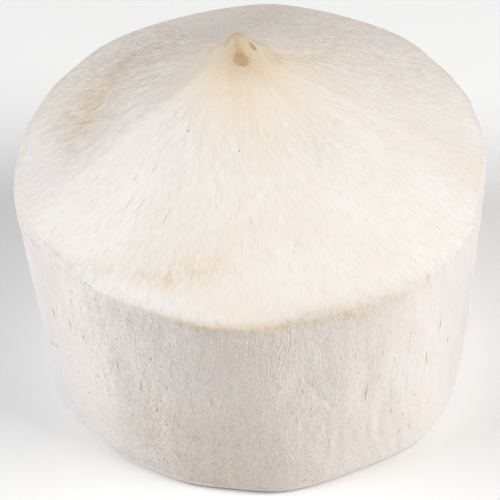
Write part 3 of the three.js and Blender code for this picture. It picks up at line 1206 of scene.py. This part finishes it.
# How values are drawn out: the two ends that are read, and what they become if not 0 and 1
RANGES = {
    "patches": (0.3, 0.7, -0.5, 0.1),
    "ragged": (0.32, 0.68, 0.25, 1.55),
    "even": (0.3, 0.7, 0.72, 1.12),
    "pit_edge": (0.3, 0.7, -0.1, 0.1),
    "pit": (0.26, 0.62),
    "husk_groove": (0.52, 0.3, 0.0, 0.75),
    "husk_tone": (0.3, 0.7),
    "husk_roughness": (0.3, 0.7, 0.92, 0.72),
    "fibre_groove": (0.45, 0.25, 0.0, 0.35),
    "fibre_grey": (0.55, 0.8, 1.25, 0.2),
    "fibre_stain": (0.5, 1.2, 1.1, 0.15),
    "fibre_roughness": (0.3, 0.7, 0.85, 0.68),
    "cut_end_white": (0.9, 1.25, 0.25, 1.0),
    "vein_patches": (0.25, 0.6, 0.7, 1.0),
    "vein_depth": (0.0, 1.2, 0.15, 1.1),
    "speck_shade": (0.3, 0.7),
}
TONE_SHARE = 0.4
CUT_END_STAIN = 0.6

ROUGHNESS = {
    "husk_fibre": 0.85,
    "loose_fibre": 0.8,
    "cut_end": 0.8,
    "vein_fibre": 0.75,
    "speck_brown": 0.7,
    "floor_paint": 0.9,
}
SPECULAR_LEVEL = 0.25
HUSK_BUMP = 0.5
HUSK_BUMP_DEPTH = 0.3


def linear(colour):
    """Scene colour of an eight bit screen colour, by the curve of the sRGB standard."""
    parts = [part / 255 for part in colour]
    return [part / 12.92 if part <= 0.04045 else ((part + 0.055) / 1.055) ** 2.4 for part in parts] + [1]


def new_group(name, inputs, outputs):
    """A shader node group with named numbers in and named values out."""
    group = bpy.data.node_groups.new(name, "ShaderNodeTree")
    for label, default in inputs:
        socket = group.interface.new_socket(label, in_out="INPUT", socket_type="NodeSocketFloat")
        socket.default_value = default
    for label, kind in outputs:
        group.interface.new_socket(label, in_out="OUTPUT", socket_type=kind)
    return group, group.nodes.new("NodeGroupInput"), group.nodes.new("NodeGroupOutput")


def add_math(tree, operation, first, second=None, clamp=False):
    node = tree.nodes.new("ShaderNodeMath")
    node.operation = operation
    node.use_clamp = clamp
    for socket, value in zip(node.inputs, (first, second)):
        if value is None:
            continue
        if isinstance(value, (int, float)):
            socket.default_value = value
        else:
            tree.links.new(value, socket)
    return node.outputs[0]


def add_range(tree, value, low, high, to_low=0.0, to_high=1.0):
    node = tree.nodes.new("ShaderNodeMapRange")
    node.clamp = True
    labels = ("From Min", "From Max", "To Min", "To Max")
    for label, number in zip(labels, (low, high, to_low, to_high)):
        node.inputs[label].default_value = number
    tree.links.new(value, node.inputs["Value"])
    return node.outputs["Result"]


def add_mix(tree, share, first, second):
    """Mixes two colours, each a socket or a screen colour."""
    node = tree.nodes.new("ShaderNodeMix")
    node.data_type = "RGBA"
    tree.links.new(share, node.inputs["Factor"])
    for socket, value in ((node.inputs[6], first), (node.inputs[7], second)):
        if isinstance(value, tuple):
            socket.default_value = linear(value)
        else:
            tree.links.new(value, socket)
    return node.outputs[2]


def mix_values(tree, share, first, second):
    node = tree.nodes.new("ShaderNodeMix")
    sockets = (node.inputs["Factor"], node.inputs[2], node.inputs[3])
    for socket, value in zip(sockets, (share, first, second)):
        tree.links.new(value, socket)
    return node.outputs[0]


def add_attribute(tree, name):
    node = tree.nodes.new("ShaderNodeAttribute")
    node.attribute_name = name
    return node


def add_amount(tree, name):
    """One of the painted amounts."""
    return add_attribute(tree, name).outputs["Fac"]


def make_grain_group():
    """Noise drawn out along the fibres: so many marks to a radian across, and so many to 100 mm along."""
    group, source, result = new_group(
        "fibre_grain",
        (("Across", 60.0), ("Along", 20.0), ("Detail", 2.0), ("Offset", 0.0)),
        (("Grain", "NodeSocketFloat"),),
    )
    place = add_attribute(group, "fibre_way")
    scale = group.nodes.new("ShaderNodeCombineXYZ")
    group.links.new(source.outputs["Across"], scale.inputs["X"])
    group.links.new(source.outputs["Across"], scale.inputs["Y"])
    group.links.new(source.outputs["Along"], scale.inputs["Z"])
    stretch = group.nodes.new("ShaderNodeVectorMath")
    stretch.operation = "MULTIPLY"
    group.links.new(place.outputs["Vector"], stretch.inputs[0])
    group.links.new(scale.outputs[0], stretch.inputs[1])
    shift = group.nodes.new("ShaderNodeVectorMath")
    shift.operation = "ADD"
    group.links.new(stretch.outputs[0], shift.inputs[0])
    group.links.new(source.outputs["Offset"], shift.inputs[1])
    noise = group.nodes.new("ShaderNodeTexNoise")
    noise.inputs["Scale"].default_value = 1
    group.links.new(shift.outputs[0], noise.inputs["Vector"])
    group.links.new(source.outputs["Detail"], noise.inputs["Detail"])
    group.links.new(noise.outputs["Fac"], result.inputs["Grain"])
    return group


def place_grain(tree, grain, across, along, detail, offset):
    node = tree.nodes.new("ShaderNodeGroup")
    node.node_tree = grain
    for label, number in (("Across", across), ("Along", along), ("Detail", detail), ("Offset", offset)):
        node.inputs[label].default_value = number
    return node.outputs["Grain"]


def add_mottle(tree, streaks, scale):
    """Streaks along the fibres that give way to even mottling where the fibres are cut across."""
    place = tree.nodes.new("ShaderNodeTexCoord")
    noise = tree.nodes.new("ShaderNodeTexNoise")
    noise.inputs["Scale"].default_value = scale
    noise.inputs["Detail"].default_value = MOTTLE_DETAIL
    tree.links.new(place.outputs["Object"], noise.inputs["Vector"])
    return mix_values(tree, add_amount(tree, "mottle"), streaks, noise.outputs["Fac"])


def make_colour_group(grain):
    """Colour of husk fibre: white to cream by tone, then weathering and painted shade, stains and dark
    marks by place.
    """
    group, source, result = new_group(
        "husk_colour",
        (("Tone", 0.5), ("Groove", 0.0), ("Stain Strength", 1.0), ("Grey Strength", 1.0)),
        (("Color", "NodeSocketColor"),),
    )
    broad = place_grain(group, grain, *GRAINS["patches"])
    patches = add_range(group, broad, *RANGES["patches"])
    tone = add_math(group, "MULTIPLY_ADD", source.outputs["Tone"], TONE_SHARE)
    group.links.new(patches, tone.node.inputs[2])
    # The cream amount is lower where painted sheen makes the front left and front right whiter
    cream = add_math(group, "ADD", add_amount(group, "cream"), tone, True)
    colour = add_mix(group, cream, HUSK_WHITE, HUSK_CREAM)
    colour = add_mix(group, add_amount(group, "rose"), colour, HUSK_ROSE)
    colour = add_mix(group, add_amount(group, "cool"), colour, HUSK_LILAC)
    colour = add_mix(group, source.outputs["Groove"], colour, GROOVE_GREY)
    streaks = place_grain(group, grain, *GRAINS["flecks"])
    flecks = add_mottle(group, streaks, COLOUR_MOTTLE)
    ragged = add_range(group, flecks, *RANGES["ragged"])
    even = add_range(group, flecks, *RANGES["even"])
    ragged = mix_values(group, add_amount(group, "even"), ragged, even)
    grey = add_math(group, "MULTIPLY", source.outputs["Grey Strength"], ragged)
    tan = add_math(group, "MULTIPLY", source.outputs["Stain Strength"], ragged)
    shades = (("weathering_and_shade", grey, WEATHER_AND_SHADE_GREY), ("stain", tan, STAIN_TAN), ("umber", ragged, NUB_UMBER))
    for name, strength, shade in shades:
        amount = add_math(group, "MULTIPLY", add_amount(group, name), strength, True)
        colour = add_mix(group, amount, colour, shade)
    pit_edge = add_range(group, flecks, *RANGES["pit_edge"])
    pit = add_math(group, "ADD", add_amount(group, "pit"), pit_edge)
    colour = add_mix(group, add_range(group, pit, *RANGES["pit"]), colour, PIT_BROWN)
    group.links.new(colour, result.inputs["Color"])
    return group


def new_material(name):
    material = bpy.data.materials.new(name)
    material.use_nodes = True
    shader = material.node_tree.nodes["Principled BSDF"]
    shader.inputs["Roughness"].default_value = ROUGHNESS[name]
    shader.inputs["Specular IOR Level"].default_value = SPECULAR_LEVEL
    return material, material.node_tree, shader


def place_colour(tree, husk_colour, tone, groove, stain_strength, grey_strength=1.0):
    node = tree.nodes.new("ShaderNodeGroup")
    node.node_tree = husk_colour
    numbers = (tone, groove, stain_strength, grey_strength)
    for label, value in zip(("Tone", "Groove", "Stain Strength", "Grey Strength"), numbers):
        if isinstance(value, float):
            node.inputs[label].default_value = value
        else:
            tree.links.new(value, node.inputs[label])
    return node.outputs["Color"]


def add_bump(tree, shader, height, strength, distance):
    bump = tree.nodes.new("ShaderNodeBump")
    bump.inputs["Strength"].default_value = strength
    bump.inputs["Distance"].default_value = distance
    tree.links.new(height, bump.inputs["Height"])
    tree.links.new(bump.outputs["Normal"], shader.inputs["Normal"])


def husk_material(grain, husk_colour):
    material, tree, shader = new_material("husk_fibre")
    fine = add_mottle(tree, place_grain(tree, grain, *GRAINS["husk_fine"]), RELIEF_MOTTLE)
    coarse = place_grain(tree, grain, *GRAINS["husk_coarse"])
    groove = add_range(tree, fine, *RANGES["husk_groove"])
    tone = add_range(tree, coarse, *RANGES["husk_tone"])
    tree.links.new(place_colour(tree, husk_colour, tone, groove, 1.0), shader.inputs["Base Color"])
    tree.links.new(add_range(tree, fine, *RANGES["husk_roughness"]), shader.inputs["Roughness"])
    height = add_math(tree, "MULTIPLY", fine, add_amount(tree, "coarse"))
    add_bump(tree, shader, height, HUSK_BUMP, HUSK_BUMP_DEPTH * MM)
    return material


def fibre_material(grain, husk_colour):
    """Loose fibres: the further a fibre's tone goes, the less stain, weathering and painted shade it has.
    """
    material, tree, shader = new_material("loose_fibre")
    tone = add_amount(tree, "tone")
    fine = place_grain(tree, grain, *GRAINS["fibre"])
    groove = add_range(tree, fine, *RANGES["fibre_groove"])
    grey = add_range(tree, tone, *RANGES["fibre_grey"])
    stain = add_range(tree, tone, *RANGES["fibre_stain"])
    colour = place_colour(tree, husk_colour, tone, groove, stain, grey)
    tree.links.new(colour, shader.inputs["Base Color"])
    tree.links.new(add_range(tree, fine, *RANGES["fibre_roughness"]), shader.inputs["Roughness"])
    return material


def cut_end_material(husk_colour):
    """Freshly cut ends of fibres are whiter than the weathered husk round them."""
    material, tree, shader = new_material("cut_end")
    tone = add_amount(tree, "tone")
    husk = place_colour(tree, husk_colour, tone, 0.0, CUT_END_STAIN)
    white = add_range(tree, tone, *RANGES["cut_end_white"])
    tree.links.new(add_mix(tree, white, husk, HUSK_WHITE), shader.inputs["Base Color"])
    return material


def vein_material(grain, husk_colour):
    """Tan vessels: each has its own depth of colour, and some are hardly darker than the husk."""
    material, tree, shader = new_material("vein_fibre")
    tone = add_amount(tree, "tone")
    husk = place_colour(tree, husk_colour, tone, 0.0, 1.0)
    fine = place_grain(tree, grain, *GRAINS["vein"])
    patchy = add_range(tree, fine, *RANGES["vein_patches"])
    depth = add_math(tree, "MULTIPLY", add_range(tree, tone, *RANGES["vein_depth"]), patchy, True)
    tree.links.new(add_mix(tree, depth, husk, VEIN_TAN), shader.inputs["Base Color"])
    return material


def speck_material(grain):
    material, tree, shader = new_material("speck_brown")
    fine = place_grain(tree, grain, *GRAINS["speck"])
    shade = add_range(tree, fine, *RANGES["speck_shade"])
    tree.links.new(add_mix(tree, shade, SPECK_BROWN, VEIN_TAN), shader.inputs["Base Color"])
    return material


# Floor and light

FLOOR_SIZE = 6000
FLOOR_DROP = 0.2


def make_floor():
    bpy.ops.object.select_all(action="DESELECT")
    bpy.ops.mesh.primitive_plane_add(size=FLOOR_SIZE * MM, location=(0, 0, -FLOOR_DROP * MM))
    floor = bpy.context.object
    floor.name = "floor"
    material, _, shader = new_material("floor_paint")
    shader.inputs["Base Color"].default_value = linear(FLOOR_WHITE)
    floor.data.materials.append(material)


# name, azimuth, elevation, distance in mm, size in mm, power in watts, colour
LIGHTS = (
    ("right_high", -20, 42, 1300, 700, 14.1, (1.0, 0.99, 0.97)),
    ("left_high", -175, 42, 1300, 700, 10.3, (0.98, 0.99, 1.0)),
    ("left_low", 178, 10, 1300, 700, 3.7, (0.96, 0.98, 1.0)),
    ("front_low", -70, 15, 1300, 700, 1.15, (1.0, 1.0, 1.0)),
)
LIGHT_AIM_HEIGHT = 50
ROOM_FILL = 0.05
ROOM_BRIGHTNESS = 0.92


def make_lights():
    for name, azimuth, elevation, distance, size, power, colour in LIGHTS:
        data = bpy.data.lights.new(name, "AREA")
        data.size = size * MM
        data.energy = power
        data.color = colour
        light = bpy.data.objects.new(name, data)
        bpy.context.scene.collection.objects.link(light)
        a = math.radians(azimuth)
        e = math.radians(elevation)
        way = Vector((math.cos(a) * math.cos(e), math.sin(a) * math.cos(e), math.sin(e)))
        light.location = way * distance * MM + Vector((0, 0, LIGHT_AIM_HEIGHT * MM))
        light.rotation_euler = way.to_track_quat("Z", "Y").to_euler()
    make_surroundings()
    bpy.context.scene.view_settings.view_transform = "Standard"


def make_surroundings():
    """A pale room: bright where the camera looks past the floor, and a faint fill for the rest."""
    world = bpy.data.worlds.new("studio")
    world.use_nodes = True
    tree = world.node_tree
    background = tree.nodes["Background"]
    background.inputs["Color"].default_value = (1, 1, 1, 1)
    rays = tree.nodes.new("ShaderNodeLightPath")
    strength = add_range(tree, rays.outputs["Is Camera Ray"], 0.0, 1.0, ROOM_FILL, ROOM_BRIGHTNESS)
    tree.links.new(strength, background.inputs["Strength"])
    bpy.context.scene.world = world


def dress(piece, material):
    piece.data.materials.clear()
    piece.data.materials.append(material)
    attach(piece, "root")


make_camera()
make_floor()
make_lights()
fibre_grain = make_grain_group()
colour_group = make_colour_group(fibre_grain)
husk = make_husk()
dress(husk, husk_material(fibre_grain, colour_group))
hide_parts("coconut")
loose = fibre_material(fibre_grain, colour_group)
vein = vein_material(fibre_grain, colour_group)
dress(make_wall_fibres(), loose)
dress(make_cone_fibres(), loose)
dress(make_frayed_hairs(), loose)
dress(make_wall_veins(), vein)
dress(make_cone_veins(), vein)
dress(lay_placed("placed_veins", PLACED_VEINS), vein)
dress(make_cut_ends(), cut_end_material(colour_group))
dress(lay_placed("specks", SPECKS), speck_material(fibre_grain))
